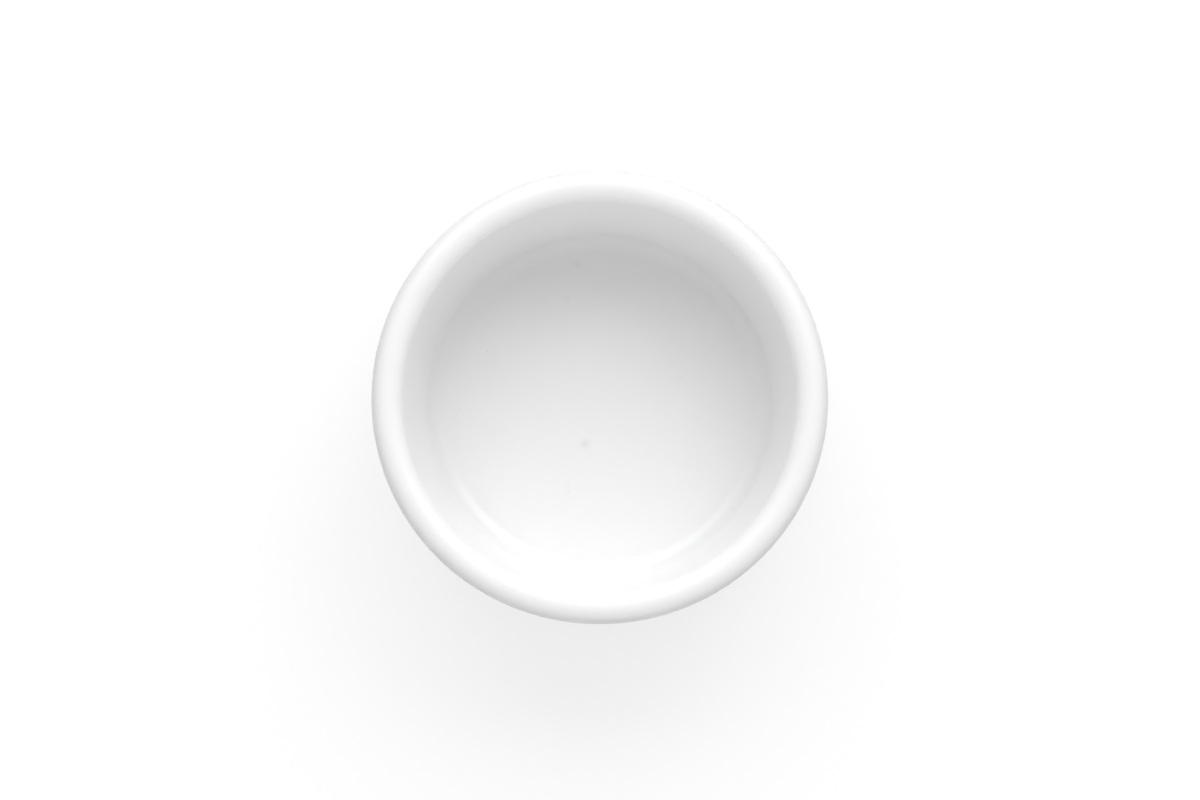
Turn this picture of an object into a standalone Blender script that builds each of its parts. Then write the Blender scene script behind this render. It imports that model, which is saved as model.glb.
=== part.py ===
"""Dip bowl: a small straight-sided bowl for one portion of sauce, in white glazed porcelain.

The real bowl is one piece. It is shaped from one clay and fired with its glaze, so the lip,
the wall, the floor and the foot ring are stretches of one turned section, and nothing comes
off it.

Metres, +Z up. The origin is the middle of the foot ring's rest face, and the bowl is turned
about +Z. Angles are in radians. Points of the section are (radius from the axis, height).
"""
import math

import bpy
from mathutils import Vector

MM = 0.001

# The whole bowl
LIP_DIAMETER = 70.0 * MM  # widest, across the outside of the lip
HEIGHT = 30.0 * MM  # from the rest face to the top of the lip

# The full-round lip, and the wall that leaves it on both sides at a tangent
LIP_THICKNESS = 4.8 * MM
INNER_DRAFT = math.radians(9.2)  # lean of the wall's inside, from upright
OUTER_DRAFT = math.radians(7.0)  # lean of its outside, less, so that the wall thickens downwards

# The floor, and the two round corners that join it to the wall
FLOOR_THICKNESS = 4.4 * MM  # above the edge of the recess under the bowl
INNER_CORNER_RADIUS = 2.2 * MM
HEEL_RADIUS = 7.0 * MM

# The foot ring that the bowl stands on, and the recess inside it
FOOT_DIAMETER = 47.0 * MM  # outside, where its sides meet the rest face
FOOT_WIDTH = 3.6 * MM  # of the ring, at the rest face
FOOT_HEIGHT = 2.0 * MM  # from the rest face to the body outside the ring
RECESS_DEPTH = 1.6 * MM  # from the rest face to the underside inside the ring
FOOT_DRAFT = math.radians(14.0)  # lean of the ring's sides, from upright
FOOT_EDGE_RADIUS = 0.7 * MM
FOOT_ROOT_RADIUS = 0.9 * MM
UNDERSIDE_SLOPE = math.radians(2.5)  # of the domed underside, where it meets the ring

# How finely the round forms are faceted
FACET_SAG = 0.02 * MM  # most that a chord of the section lies inside its arc
TURN_STEPS = 80  # facets round the bowl
SAME_POINT = 0.01 * MM  # points of the section that are nearer than this are one

PORCELAIN_WHITE = (0.85, 0.85, 0.845, 1.0)
GLAZE_ROUGHNESS = 0.12


def direction(angle):
    """Unit vector of the section, turned by an angle from the outward radius towards +Z."""
    return Vector((math.cos(angle), math.sin(angle)))


def arc(centre, radius, start_angle, turn):
    """Points along an arc, both ends included. A positive turn runs towards +Z at the outside."""
    widest_step = 2 * math.acos(max(0.0, 1 - FACET_SAG / radius))
    steps = max(2, math.ceil(abs(turn) / widest_step))
    return [
        centre + radius * direction(start_angle + turn * step / steps)
        for step in range(steps + 1)
    ]


def half_angle_at(before, corner, after):
    """Half of the angle between the two runs that meet at a corner."""
    return (before - corner).angle(after - corner) / 2


def fillet(before, corner, after, reach):
    """The arc that touches both runs at a corner, each at a distance of reach from it."""
    back = (before - corner).normalized()
    onward = (after - corner).normalized()
    half_angle = half_angle_at(before, corner, after)
    centre = corner + (back + onward).normalized() * reach / math.cos(half_angle)
    start = corner + back * reach - centre
    end = corner + onward * reach - centre
    start_angle = math.atan2(start.y, start.x)
    turn = math.remainder(math.atan2(end.y, end.x) - start_angle, 2 * math.pi)
    return arc(centre, start.length, start_angle, turn)


def rounded(corners, radii):
    """A line through corners, with a fillet at each but the two ends.

    Two fillets that ask for more than the run between them share it as they asked.
    """
    places = range(1, len(corners) - 1)
    half_angles = [half_angle_at(*corners[place - 1:place + 2]) for place in places]
    asked = [0.0]
    asked += [radius / math.tan(half) for radius, half in zip(radii, half_angles, strict=True)]
    asked += [0.0]
    runs = [(end - start).length for start, end in zip(corners, corners[1:])]

    line = [corners[0]]
    for place in places:
        back_share = runs[place - 1] / (asked[place - 1] + asked[place])
        onward_share = runs[place] / (asked[place] + asked[place + 1])
        reach = asked[place] * min(1.0, back_share, onward_share)
        line += fillet(*corners[place - 1:place + 2], reach)
    return line + [corners[-1]]


def down_the_wall(top, draft, height):
    """The point at a height on a straight wall that leans inwards on its way down from top."""
    return Vector((top.x - (top.y - height) * math.tan(draft), height))


def lip_arc():
    """The round lip, from where the inner wall touches it over to the outer wall."""
    radius = LIP_THICKNESS / 2
    centre = Vector((LIP_DIAMETER / 2 - radius, HEIGHT - radius))
    inner_angle = math.pi - INNER_DRAFT
    outer_angle = -OUTER_DRAFT
    return arc(centre, radius, inner_angle, outer_angle - inner_angle)


def foot_corners():
    """The sharp corners of the foot ring: outer root, outer edge, inner edge, inner root."""
    outer_radius = FOOT_DIAMETER / 2
    inner_radius = outer_radius - FOOT_WIDTH
    return (
        Vector((outer_radius + FOOT_HEIGHT * math.tan(FOOT_DRAFT), FOOT_HEIGHT)),
        Vector((outer_radius, 0.0)),
        Vector((inner_radius, 0.0)),
        Vector((inner_radius - RECESS_DEPTH * math.tan(FOOT_DRAFT), RECESS_DEPTH)),
    )


def inside_line(lip_start):
    """From the middle of the floor, round the inner corner and up the wall to the lip."""
    floor_height = RECESS_DEPTH + FLOOR_THICKNESS
    floor_middle = Vector((0.0, floor_height))
    inner_corner = down_the_wall(lip_start, INNER_DRAFT, floor_height)
    return rounded([floor_middle, inner_corner, lip_start], [INNER_CORNER_RADIUS])


def outside_line(lip_end):
    """From the lip down the wall, round the heel and over the foot ring to the underside."""
    heel_corner = down_the_wall(lip_end, OUTER_DRAFT, FOOT_HEIGHT)
    foot = foot_corners()
    inner_root = foot[-1]
    dome_edge = inner_root + FOOT_ROOT_RADIUS * direction(math.pi - UNDERSIDE_SLOPE)
    radii = [
        HEEL_RADIUS,
        FOOT_ROOT_RADIUS,
        FOOT_EDGE_RADIUS,
        FOOT_EDGE_RADIUS,
        FOOT_ROOT_RADIUS,
    ]
    return rounded([lip_end, heel_corner, *foot, dome_edge], radii)


def underside_dome(edge):
    """The shallow dome of the underside, from its edge to the axis, level at the axis."""
    radius = edge.x / math.sin(UNDERSIDE_SLOPE)
    centre = Vector((0.0, edge.y - radius * math.cos(UNDERSIDE_SLOPE)))
    return arc(centre, radius, math.pi / 2 - UNDERSIDE_SLOPE, UNDERSIDE_SLOPE)


def bowl_section():
    """The half section, from the middle of the floor over the lip to the middle underneath."""
    lip = lip_arc()
    outside = outside_line(lip[-1])
    section = []
    for point in inside_line(lip[0]) + lip + outside + underside_dome(outside[-1]):
        if not section or (point - section[-1]).length > SAME_POINT:
            section.append(point)
    section[-1].x = 0.0
    return section


def porcelain():
    """White glazed porcelain."""
    material = bpy.data.materials.new("glazed_porcelain")
    material.use_nodes = True
    shader = material.node_tree.nodes["Principled BSDF"]
    shader.inputs["Base Color"].default_value = PORCELAIN_WHITE
    shader.inputs["Roughness"].default_value = GLAZE_ROUGHNESS
    shader.inputs["Metallic"].default_value = 0.0
    return material


def turned(name, section, material, collection):
    """An object turned about +Z from a section that starts and ends on the axis."""
    mesh = bpy.data.meshes.new(name)
    points = [(point.x, 0.0, point.y) for point in section]
    edges = [(index, index + 1) for index in range(len(points) - 1)]
    mesh.from_pydata(points, edges, [])
    mesh.materials.append(material)
    made = bpy.data.objects.new(name, mesh)
    collection.objects.link(made)
    screw = made.modifiers.new("turn", "SCREW")
    screw.axis = "Z"
    screw.angle = 2 * math.pi
    screw.steps = TURN_STEPS
    screw.render_steps = TURN_STEPS
    screw.use_merge_vertices = True
    screw.merge_threshold = SAME_POINT
    screw.use_smooth_shade = True
    return made


def clear_scene():
    """Takes out every object that the scene starts with."""
    for found in list(bpy.data.objects):
        bpy.data.objects.remove(found)


def main():
    clear_scene()
    collection = bpy.data.collections.new("dip_bowl")
    bpy.context.scene.collection.children.link(collection)
    turned("bowl", bowl_section(), porcelain(), collection)


main()
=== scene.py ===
"""Looks of the dip bowl: white glazed porcelain on a pale table, seen from nearly straight above.

Metres, +Z up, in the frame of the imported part. The photograph's up is +Y here. Angles are in
radians. Points of the section are (radius from the axis, height).
"""
import math

import bmesh
import bpy
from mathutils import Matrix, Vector, noise


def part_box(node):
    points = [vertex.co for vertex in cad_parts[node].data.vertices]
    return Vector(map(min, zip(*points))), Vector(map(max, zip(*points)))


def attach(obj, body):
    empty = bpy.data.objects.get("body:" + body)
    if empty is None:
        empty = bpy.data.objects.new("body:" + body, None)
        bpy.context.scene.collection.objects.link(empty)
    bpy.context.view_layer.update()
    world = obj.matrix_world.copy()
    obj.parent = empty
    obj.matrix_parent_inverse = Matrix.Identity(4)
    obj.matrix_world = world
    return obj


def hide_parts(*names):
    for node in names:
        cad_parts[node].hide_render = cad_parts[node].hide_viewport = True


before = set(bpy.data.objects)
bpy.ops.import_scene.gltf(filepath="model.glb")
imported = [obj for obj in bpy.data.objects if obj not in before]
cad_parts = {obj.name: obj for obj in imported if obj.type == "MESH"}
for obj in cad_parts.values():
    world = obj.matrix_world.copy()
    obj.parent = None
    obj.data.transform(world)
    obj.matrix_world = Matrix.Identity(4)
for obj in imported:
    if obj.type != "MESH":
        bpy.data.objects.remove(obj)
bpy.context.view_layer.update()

MM = 0.001
BLACK = (0.0, 0.0, 0.0, 1.0)
WHITE = (1.0, 1.0, 1.0, 1.0)

# The bowl's section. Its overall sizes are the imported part's. The inside of the wall is a little
# steeper and its corner rounder than in the solid, by less than half a millimetre anywhere.
_, bowl_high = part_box("bowl")
LIP_DIAMETER = 70.0 * MM
HEIGHT = bowl_high.z
LIP_THICKNESS = 4.8 * MM
INNER_DRAFT = math.radians(8.0)
OUTER_DRAFT = math.radians(7.0)
FLOOR_HEIGHT = 6.0 * MM  # from the rest face to the top of the floor
INNER_CORNER_RADIUS = 3.4 * MM
HEEL_RADIUS = 7.0 * MM

# The foot ring. Its land is wiped free of glaze, so the glaze ends a little way up its sides.
FOOT_DIAMETER = 47.0 * MM
FOOT_WIDTH = 3.6 * MM
FOOT_HEIGHT = 2.0 * MM
RECESS_DEPTH = 1.6 * MM
FOOT_DRAFT = math.radians(14.0)
FOOT_ROOT_RADIUS = 0.9 * MM
UNDERSIDE_SLOPE = math.radians(2.5)
GLAZE_THICKNESS = 0.14 * MM
GLAZE_END = 0.62 * MM  # height of the glaze's rounded end on the ring's sides
GLAZE_END_RADIUS = 0.07 * MM
GLAZE_FADE = 0.06 * MM  # height below that end in which clay turns into glaze
LAND_EDGE_RADIUS = 0.5 * MM

# How finely the round forms are faceted
FACET_SAG = 0.003 * MM
LONGEST_RUN = 1.2 * MM  # of a straight stretch of the section, between two of its points
TURN_STEPS = 320
SAME_POINT = 0.005 * MM

# What the kiln leaves: the lip a little off round and level, and the glaze not quite even
OVAL = 0.10 * MM
OVAL_ANGLE = math.radians(5)
THREE_SIDED = 0.07 * MM
THREE_SIDED_ANGLE = math.radians(92)
LIP_WAVE = 0.06 * MM
GLAZE_WAVE = 0.012 * MM
GLAZE_WAVES_PER_METRE = 95.0

# The glaze: its colour and gloss drift a little, and its surface has a fine orange peel. The
# detail of a noise is how many finer layers it has.
GLAZE_LOW = (0.853, 0.853, 0.853, 1.0)
GLAZE_HIGH = (0.869, 0.869, 0.869, 1.0)
MOTTLE_PER_METRE = 70.0
MOTTLE_DETAIL = 3.0
GLAZE_ROUGHNESS_LOW = 0.28
GLAZE_ROUGHNESS_HIGH = 0.33
HAZE_PER_METRE = 160.0
HAZE_DETAIL = 2.0
GLAZE_IOR = 1.55
PEEL_PER_METRE = 620.0
PEEL_DETAIL = 1.0
PEEL_HEIGHT = 0.006 * MM

# How far light spreads inside the porcelain, and the shares of it for red, green and blue
TRANSLUCENT_DEPTH = 3.0 * MM
TRANSLUCENT_SHARES = (1.0, 0.97, 0.95)

# Specks of iron in the glaze. Sizes are shares of a cell.
SPECK_COLOUR = (0.77, 0.765, 0.75, 1.0)
SPECK_CELLS_PER_METRE = 190.0
SPECK_SMALLEST = 0.012
SPECK_LARGEST = 0.050
SPECK_CORE = 0.4  # the share of a speck's radius that is fully dark

# Faint marks on the floor and in the corner: centre, radius and strength
MARK_COLOUR = (0.70, 0.70, 0.69, 1.0)
MARKS = (
    (Vector((-2.4, -5.9, 6.0)) * MM, 1.30 * MM, 0.45),
    (Vector((-3.7, 22.8, 6.0)) * MM, 0.90 * MM, 0.26),
    (Vector((-5.2, 17.3, 6.0)) * MM, 0.65 * MM, 0.25),
    (Vector((-26.3, -3.2, 7.3)) * MM, 0.70 * MM, 0.25),
    (Vector((13.0, 4.6, 6.0)) * MM, 0.50 * MM, 0.25),
    (Vector((-5.1, -12.4, 6.0)) * MM, 0.60 * MM, 0.22),
    (Vector((-5.0, -13.5, 6.0)) * MM, 0.60 * MM, 0.22),
)

# The bare clay of the foot ring's land
CLAY_LOW = (0.76, 0.75, 0.73, 1.0)
CLAY_HIGH = (0.82, 0.81, 0.79, 1.0)
CLAY_ROUGHNESS = 0.7
CLAY_GRAIN_PER_METRE = 2600.0
CLAY_GRAIN_DETAIL = 4.0
CLAY_GRAIN_HEIGHT = 0.02 * MM

# The pale table. To the bowl it is plain grey paint. Seen directly or mirrored it is part paint
# and part glow, which add up to white where it is lit and leave the bowl's shadow faint. Away
# from the bowl, past its shadow, the glow alone makes it white as far as it reaches.
TABLE_HALF_WIDTH = 2.0
TABLE_PAINT = (0.30, 0.30, 0.30, 1.0)
TABLE_SEEN_PAINT = (0.34, 0.34, 0.34, 1.0)
TABLE_SEEN_GLOW = 0.67
GLOW_ALONE_FROM = 0.15
GLOW_ALONE_AT = 0.40

# The studio: an even fill, and softboxes as (name, azimuth, elevation, distance, width,
# height, power), with the two angles in degrees and the power in watts
FILL = 0.527
SOFTBOXES = (
    ("far_bank", 90, 45, 1.25, 1.60, 0.95, 10.8),
    ("far_right_bank", 52, 42, 1.25, 0.80, 0.80, 2.25),
    ("near_strip", 266, 18, 1.25, 1.00, 0.35, 1.5),
    ("near_right_strip", 300, 20, 1.25, 0.60, 0.35, 0.3),
    ("near_box", 270, 50, 1.25, 1.20, 0.60, 0.7),
)

# The photograph: its frame, the bowl's place in it, and where it was taken from
PHOTO_WIDTH_PX = 1200
PHOTO_HEIGHT_PX = 800
BOWL_WIDTH_PX = 455.5
BOWL_CENTRE_PX = Vector((599.8, 397.0))
CAMERA_DISTANCE = 0.60
CAMERA_TILT = math.radians(4.2)  # from straight down, towards the near side
SENSOR_WIDTH_MM = 36.0


def direction(angle):
    """Unit vector of the section, turned by an angle from the outward radius towards +Z."""
    return Vector((math.cos(angle), math.sin(angle)))


def arc(centre, radius, start_angle, turn):
    """Points along an arc, both ends included. A positive turn runs towards +Z at the outside."""
    widest_step = 2 * math.acos(max(0.0, 1 - FACET_SAG / radius))
    steps = max(2, math.ceil(abs(turn) / widest_step))
    return [
        centre + radius * direction(start_angle + turn * step / steps)
        for step in range(steps + 1)
    ]


def fillet(before, corner, after, radius):
    """The arc of a radius that touches both runs at a corner."""
    back = (before - corner).normalized()
    onward = (after - corner).normalized()
    half_angle = back.angle(onward) / 2
    centre = corner + (back + onward).normalized() * radius / math.sin(half_angle)
    start = corner + back * radius / math.tan(half_angle) - centre
    end = corner + onward * radius / math.tan(half_angle) - centre
    start_angle = math.atan2(start.y, start.x)
    turn = math.remainder(math.atan2(end.y, end.x) - start_angle, 2 * math.pi)
    return arc(centre, radius, start_angle, turn)


def rounded(corners, radii):
    """A line through corners, with a fillet at each but the two ends."""
    line = [corners[0]]
    for place, radius in enumerate(radii, start=1):
        line += fillet(*corners[place - 1:place + 2], radius)
    return line + [corners[-1]]


def down_the_wall(top, draft, height):
    """The point at a height on a straight wall that leans inwards on its way down from top."""
    return Vector((top.x - (top.y - height) * math.tan(draft), height))


def lip_arc():
    """The round lip, from where the inner wall touches it over to the outer wall."""
    radius = LIP_THICKNESS / 2
    centre = Vector((LIP_DIAMETER / 2 - radius, HEIGHT - radius))
    inner_angle = math.pi - INNER_DRAFT
    outer_angle = -OUTER_DRAFT
    return arc(centre, radius, inner_angle, outer_angle - inner_angle)


def foot_side(radius, height, outwards):
    """A point on the foot ring's side: outwards is 1 on its outer side and -1 on its inner."""
    return Vector((radius + outwards * height * math.tan(FOOT_DRAFT), height))


def outside_line(lip_end):
    """From the lip down the wall and over the foot ring, with its bare land, to the dome."""
    outer = FOOT_DIAMETER / 2
    inner = outer - FOOT_WIDTH
    bare_outer = outer - GLAZE_THICKNESS
    bare_inner = inner + GLAZE_THICKNESS
    inner_root = foot_side(inner, RECESS_DEPTH, -1)
    corners_and_radii = [
        (down_the_wall(lip_end, OUTER_DRAFT, FOOT_HEIGHT), HEEL_RADIUS),
        (foot_side(outer, FOOT_HEIGHT, 1), FOOT_ROOT_RADIUS),
        (foot_side(outer, GLAZE_END, 1), GLAZE_END_RADIUS),
        (foot_side(bare_outer, GLAZE_END, 1), GLAZE_END_RADIUS),
        (foot_side(bare_outer, 0.0, 1), LAND_EDGE_RADIUS),
        (foot_side(bare_inner, 0.0, -1), LAND_EDGE_RADIUS),
        (foot_side(bare_inner, GLAZE_END, -1), GLAZE_END_RADIUS),
        (foot_side(inner, GLAZE_END, -1), GLAZE_END_RADIUS),
        (inner_root, FOOT_ROOT_RADIUS),
    ]
    dome_edge = inner_root + FOOT_ROOT_RADIUS * direction(math.pi - UNDERSIDE_SLOPE)
    corners = [lip_end, *(corner for corner, _ in corners_and_radii), dome_edge]
    return rounded(corners, [radius for _, radius in corners_and_radii])


def underside_dome(edge):
    """The shallow dome of the underside, from its edge to the axis, level at the axis."""
    radius = edge.x / math.sin(UNDERSIDE_SLOPE)
    centre = Vector((0.0, edge.y - radius * math.cos(UNDERSIDE_SLOPE)))
    return arc(centre, radius, math.pi / 2 - UNDERSIDE_SLOPE, UNDERSIDE_SLOPE)


def evenly_filled(line):
    """The same line without doubled points, and with no straight step over LONGEST_RUN."""
    filled = [line[0]]
    for point in line[1:]:
        step = point - filled[-1]
        if step.length < SAME_POINT:
            continue
        start = filled[-1]
        pieces = math.ceil(step.length / LONGEST_RUN)
        filled += [start + step * piece / pieces for piece in range(1, pieces + 1)]
    return filled


def bowl_section():
    """The half section, from the middle of the floor over the lip to the middle underneath."""
    lip = lip_arc()
    inner_corner = down_the_wall(lip[0], INNER_DRAFT, FLOOR_HEIGHT)
    inside = rounded([Vector((0.0, FLOOR_HEIGHT)), inner_corner, lip[0]], [INNER_CORNER_RADIUS])
    outside = outside_line(lip[-1])
    return evenly_filled(inside + lip + outside + underside_dome(outside[-1]))


def fired(point, angle):
    """A section point's place at an angle, moved a little as the kiln moves a bowl's lip."""
    share = (point.y / HEIGHT) ** 2 * (point.x / (LIP_DIAMETER / 2)) ** 2
    off_round = OVAL * math.cos(2 * (angle - OVAL_ANGLE))
    off_round += THREE_SIDED * math.cos(3 * (angle - THREE_SIDED_ANGLE))
    radius = point.x + share * off_round
    height = point.y + share * LIP_WAVE * math.sin(2 * angle)
    return Vector((radius * math.cos(angle), radius * math.sin(angle), height))


def turned_mesh(name, section):
    """A closed mesh turned about +Z from a section that starts and ends on the axis."""
    shape = bmesh.new()
    angles = [2 * math.pi * step / TURN_STEPS for step in range(TURN_STEPS)]
    rings = [[shape.verts.new(fired(point, angle)) for angle in angles] for point in section[1:-1]]
    floor_pole = shape.verts.new((0.0, 0.0, section[0].y))
    under_pole = shape.verts.new((0.0, 0.0, section[-1].y))
    for step in range(TURN_STEPS):
        after = (step + 1) % TURN_STEPS
        shape.faces.new((floor_pole, rings[0][step], rings[0][after]))
        shape.faces.new((under_pole, rings[-1][after], rings[-1][step]))
        for ring, next_ring in zip(rings, rings[1:]):
            shape.faces.new((ring[step], next_ring[step], next_ring[after], ring[after]))
    shape.normal_update()
    for vert in shape.verts:
        glazed = min(1.0, max(0.0, (vert.co.z - GLAZE_END) / FOOT_HEIGHT))
        swell = noise.noise(vert.co * GLAZE_WAVES_PER_METRE) * GLAZE_WAVE
        vert.co += vert.normal * swell * glazed
    mesh = bpy.data.meshes.new(name)
    shape.to_mesh(mesh)
    shape.free()
    mesh.shade_smooth()
    return mesh


def node(tree, kind, inputs=None, **settings):
    """A shader node with its settings, and its inputs given as values or as links."""
    made = tree.nodes.new(kind)
    for key, value in settings.items():
        setattr(made, key, value)
    for socket, value in (inputs or {}).items():
        if isinstance(value, bpy.types.NodeSocket):
            tree.links.new(value, made.inputs[socket])
        else:
            made.inputs[socket].default_value = value
    return made


def noise_at(tree, place, per_metre, detail):
    """Noise with features of one over per_metre, from 0 to 1 round a half."""
    inputs = {"Vector": place, "Scale": per_metre, "Detail": detail}
    return node(tree, "ShaderNodeTexNoise", inputs, noise_dimensions="3D").outputs["Fac"]


def ramp(tree, value, low, high, at_low=0.0, at_high=1.0):
    """A value taken smoothly from one range to another, and kept inside it."""
    inputs = {0: value, 1: low, 2: high, 3: at_low, 4: at_high}
    return node(tree, "ShaderNodeMapRange", inputs, interpolation_type="SMOOTHSTEP").outputs[0]


def blend(tree, share, first, second):
    """A colour between two others."""
    inputs = {"Factor": share, "A": first, "B": second}
    return node(tree, "ShaderNodeMix", inputs, data_type="RGBA").outputs["Result"]


def mix_by_share(tree, share, first, second):
    """A number between two others."""
    inputs = {0: share, 2: first, 3: second}
    return node(tree, "ShaderNodeMix", inputs, data_type="FLOAT").outputs["Result"]


def math_node(tree, operation, *values):
    """The result of a sum, product or the like of values or links."""
    inputs = dict(enumerate(values))
    return node(tree, "ShaderNodeMath", inputs, operation=operation).outputs[0]


def speck_share(tree, place):
    """How much of a point lies in one of the glaze's scattered dark specks."""
    inputs = {"Vector": place, "Scale": SPECK_CELLS_PER_METRE}
    cells = node(tree, "ShaderNodeTexVoronoi", inputs, voronoi_dimensions="3D", feature="F1")
    size = ramp(tree, cells.outputs["Color"], 0.0, 1.0, SPECK_SMALLEST, SPECK_LARGEST)
    reach = math_node(tree, "DIVIDE", cells.outputs["Distance"], size)
    return ramp(tree, reach, SPECK_CORE, 1.0, 1.0, 0.0)


def mark_share(tree, place):
    """How much of a point lies in one of the faint marks that the photograph shows."""
    share = None
    for centre, radius, strength in MARKS:
        inputs = {0: place, 1: centre}
        away = node(tree, "ShaderNodeVectorMath", inputs, operation="DISTANCE").outputs["Value"]
        mark = ramp(tree, away, 0.0, radius, strength, 0.0)
        share = mark if share is None else math_node(tree, "MAXIMUM", share, mark)
    return share


def porcelain():
    """White porcelain under a clear satin glaze, bare and matt on the foot ring's land."""
    material = bpy.data.materials.new("glazed_porcelain")
    material.use_nodes = True
    tree = material.node_tree
    shader = tree.nodes["Principled BSDF"]
    place = node(tree, "ShaderNodeTexCoord").outputs["Object"]
    height = node(tree, "ShaderNodeSeparateXYZ", {0: place}).outputs["Z"]
    glazed = ramp(tree, height, GLAZE_END - GLAZE_FADE, GLAZE_END)

    mottle = noise_at(tree, place, MOTTLE_PER_METRE, MOTTLE_DETAIL)
    glaze = blend(tree, mottle, GLAZE_LOW, GLAZE_HIGH)
    glaze = blend(tree, speck_share(tree, place), glaze, SPECK_COLOUR)
    glaze = blend(tree, mark_share(tree, place), glaze, MARK_COLOUR)
    grain = noise_at(tree, place, CLAY_GRAIN_PER_METRE, CLAY_GRAIN_DETAIL)
    clay = blend(tree, grain, CLAY_LOW, CLAY_HIGH)
    tree.links.new(blend(tree, glazed, clay, glaze), shader.inputs["Base Color"])

    shader.inputs["Subsurface Weight"].default_value = 1.0
    shader.inputs["Subsurface Radius"].default_value = TRANSLUCENT_SHARES
    shader.inputs["Subsurface Scale"].default_value = TRANSLUCENT_DEPTH

    shader.inputs["IOR"].default_value = GLAZE_IOR
    haze = noise_at(tree, place, HAZE_PER_METRE, HAZE_DETAIL)
    gloss = mix_by_share(tree, haze, GLAZE_ROUGHNESS_LOW, GLAZE_ROUGHNESS_HIGH)
    rough = mix_by_share(tree, glazed, CLAY_ROUGHNESS, gloss)
    tree.links.new(rough, shader.inputs["Roughness"])

    dimples = noise_at(tree, place, PEEL_PER_METRE, PEEL_DETAIL)
    peel = math_node(tree, "MULTIPLY", dimples, PEEL_HEIGHT)
    tooth = math_node(tree, "MULTIPLY", grain, CLAY_GRAIN_HEIGHT)
    relief = mix_by_share(tree, glazed, tooth, peel)
    bump = node(tree, "ShaderNodeBump", {"Height": relief, "Distance": 1.0, "Strength": 1.0})
    tree.links.new(bump.outputs["Normal"], shader.inputs["Normal"])
    return material


def seen_or_mirrored(tree):
    """One for rays from the camera and those that mirrors and glass pass on, else nought."""
    ray = node(tree, "ShaderNodeLightPath")
    seen = math_node(tree, "MAXIMUM", ray.outputs["Is Camera Ray"], ray.outputs["Is Glossy Ray"])
    return math_node(tree, "MAXIMUM", seen, ray.outputs["Is Transmission Ray"])


def pale_table():
    """The pale surface that the bowl stands on."""
    material = bpy.data.materials.new("pale_table")
    material.use_nodes = True
    tree = material.node_tree
    tree.nodes.clear()
    place = node(tree, "ShaderNodeTexCoord").outputs["Object"]
    away = node(tree, "ShaderNodeVectorMath", {0: place}, operation="LENGTH").outputs["Value"]
    past_shadow = ramp(tree, away, GLOW_ALONE_FROM, GLOW_ALONE_AT)
    seen_colour = blend(tree, past_shadow, TABLE_SEEN_PAINT, BLACK)
    strength = mix_by_share(tree, past_shadow, TABLE_SEEN_GLOW, 1.0)
    paint = node(tree, "ShaderNodeBsdfDiffuse", {"Color": TABLE_PAINT})
    seen_paint = node(tree, "ShaderNodeBsdfDiffuse", {"Color": seen_colour})
    glow = node(tree, "ShaderNodeEmission", {"Strength": strength})
    seen = node(tree, "ShaderNodeAddShader", {0: seen_paint.outputs[0], 1: glow.outputs[0]})
    shares = {0: seen_or_mirrored(tree), 1: paint.outputs[0], 2: seen.outputs[0]}
    surface = node(tree, "ShaderNodeMixShader", shares)
    node(tree, "ShaderNodeOutputMaterial", {"Surface": surface.outputs[0]})
    return material


def make_bowl():
    mesh = turned_mesh("porcelain_bowl", bowl_section())
    mesh.materials.append(porcelain())
    bowl = bpy.data.objects.new("porcelain_bowl", mesh)
    bpy.context.scene.collection.objects.link(bowl)
    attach(bowl, "root")
    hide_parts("bowl")


def make_table():
    half = TABLE_HALF_WIDTH
    mesh = bpy.data.meshes.new("table")
    corners = [(-half, -half, 0.0), (half, -half, 0.0), (half, half, 0.0), (-half, half, 0.0)]
    mesh.from_pydata(corners, [], [(0, 1, 2, 3)])
    mesh.materials.append(pale_table())
    table = bpy.data.objects.new("table", mesh)
    bpy.context.scene.collection.objects.link(table)


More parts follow.
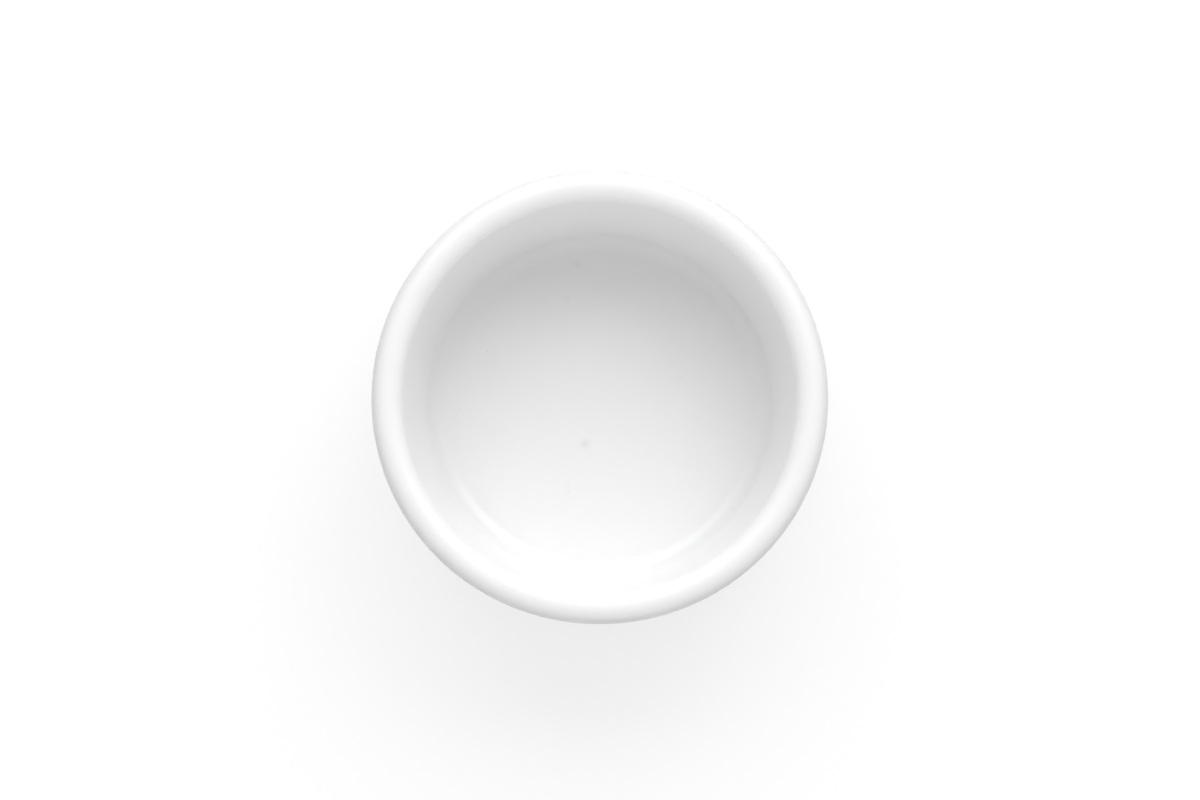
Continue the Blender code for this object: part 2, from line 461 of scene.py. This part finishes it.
def towards(azimuth, elevation):
    """Unit vector at an azimuth, counted from +X towards +Y, and an elevation."""
    level = math.cos(elevation)
    return Vector((level * math.cos(azimuth), level * math.sin(azimuth), math.sin(elevation)))


def softbox(name, azimuth, elevation, distance, width, height, power):
    """A rectangular lamp that faces the bowl from an azimuth and elevation, in degrees."""
    light = bpy.data.lights.new(name, "AREA")
    light.shape = "RECTANGLE"
    light.size = width
    light.size_y = height
    light.energy = power
    lamp = bpy.data.objects.new(name, light)
    out = towards(math.radians(azimuth), math.radians(elevation))
    lamp.location = out * distance
    lamp.rotation_euler = out.to_track_quat("Z", "Y").to_euler()
    bpy.context.scene.collection.objects.link(lamp)


def make_light():
    """An even fill that is seen and mirrored as white, and the softboxes."""
    scene = bpy.context.scene
    scene.view_settings.view_transform = "Standard"
    world = bpy.data.worlds.new("studio")
    world.use_nodes = True
    tree = world.node_tree
    seen = seen_or_mirrored(tree)
    background = tree.nodes["Background"]
    background.inputs["Color"].default_value = WHITE
    tree.links.new(mix_by_share(tree, seen, FILL, 1.0), background.inputs["Strength"])
    scene.world = world
    for values in SOFTBOXES:
        softbox(*values)


def make_camera():
    """A long lens, nearly straight above the bowl, with the bowl where the photograph has it."""
    camera = bpy.data.cameras.new("camera")
    camera.sensor_width = SENSOR_WIDTH_MM
    widest = Vector((0.0, 0.0, HEIGHT - LIP_THICKNESS / 2))
    out = Vector((0.0, -math.sin(CAMERA_TILT), math.cos(CAMERA_TILT)))
    frame_width = LIP_DIAMETER * PHOTO_WIDTH_PX / BOWL_WIDTH_PX
    camera.lens = SENSOR_WIDTH_MM * CAMERA_DISTANCE / frame_width
    camera.shift_x = (PHOTO_WIDTH_PX / 2 - BOWL_CENTRE_PX.x) / PHOTO_WIDTH_PX
    camera.shift_y = (BOWL_CENTRE_PX.y - PHOTO_HEIGHT_PX / 2) / PHOTO_WIDTH_PX
    holder = bpy.data.objects.new("camera", camera)
    holder.location = widest + out * CAMERA_DISTANCE
    holder.rotation_euler = out.to_track_quat("Z", "Y").to_euler()
    bpy.context.scene.collection.objects.link(holder)
    bpy.context.scene.camera = holder


make_camera()
make_light()
make_table()
make_bowl()
